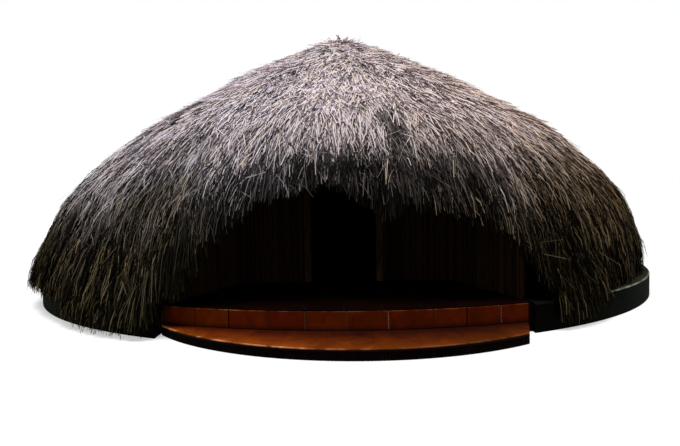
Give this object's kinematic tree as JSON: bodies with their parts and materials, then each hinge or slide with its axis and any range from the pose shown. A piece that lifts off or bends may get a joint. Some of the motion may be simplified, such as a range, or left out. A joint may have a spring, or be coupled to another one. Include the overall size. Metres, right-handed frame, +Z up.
{
  "type": "rondavel hut",
  "caption": "Round domed hut of thatch on bent poles over a ring-shaped masonry plinth, with an arched mouth, a reed-walled porch, a landing and a curved step.",
  "frame": {"origin": "on the hut's axis at ground level, at the middle of the floor slab's underside", "axes": "+Z up, -Y out through the mouth, +X to the right as seen from the front"},
  "size_m": [10.2528, 10.72, 4.3743],
  "materials": {
    "thatch": "weathered grass",
    "plinth_paint": "dark green paint on render",
    "floor_tile": "terracotta tile",
    "pole": "bare smoked pole",
    "reed": "dry reed"
  },
  "bodies": {
    "root": {"floor_slab": "floor_tile", "entrance_landing": "floor_tile", "lower_step": "plinth_paint", "step_tread": "floor_tile", "plinth_1": "plinth_paint", "plinth_2": "plinth_paint", "plinth_3": "plinth_paint", "plinth_4": "plinth_paint", "plinth_5": "plinth_paint", "plinth_6": "plinth_paint", "main_posts": "pole", "ring_beam": "pole", "rafters": "pole", "short_rafters": "pole", "entrance_arch": "pole", "hoops_upper": "pole", "hoops_lower": "pole", "crown_ring": "pole", "porch_wall_left": "reed", "porch_wall_right": "reed", "back_wall_left": "reed", "back_wall_right": "reed", "back_wall_head": "reed", "door_posts": "pole", "door_lintel": "pole", "thatch_over_entrance": "thatch", "thatch_front_right": "thatch", "thatch_right": "thatch", "thatch_right_rear": "thatch", "thatch_back_right": "thatch", "thatch_back": "thatch", "thatch_back_left": "thatch", "thatch_left_rear": "thatch", "thatch_left": "thatch", "thatch_front_left": "thatch", "thatch_crown": "thatch"}
  },
  "joints": []
}
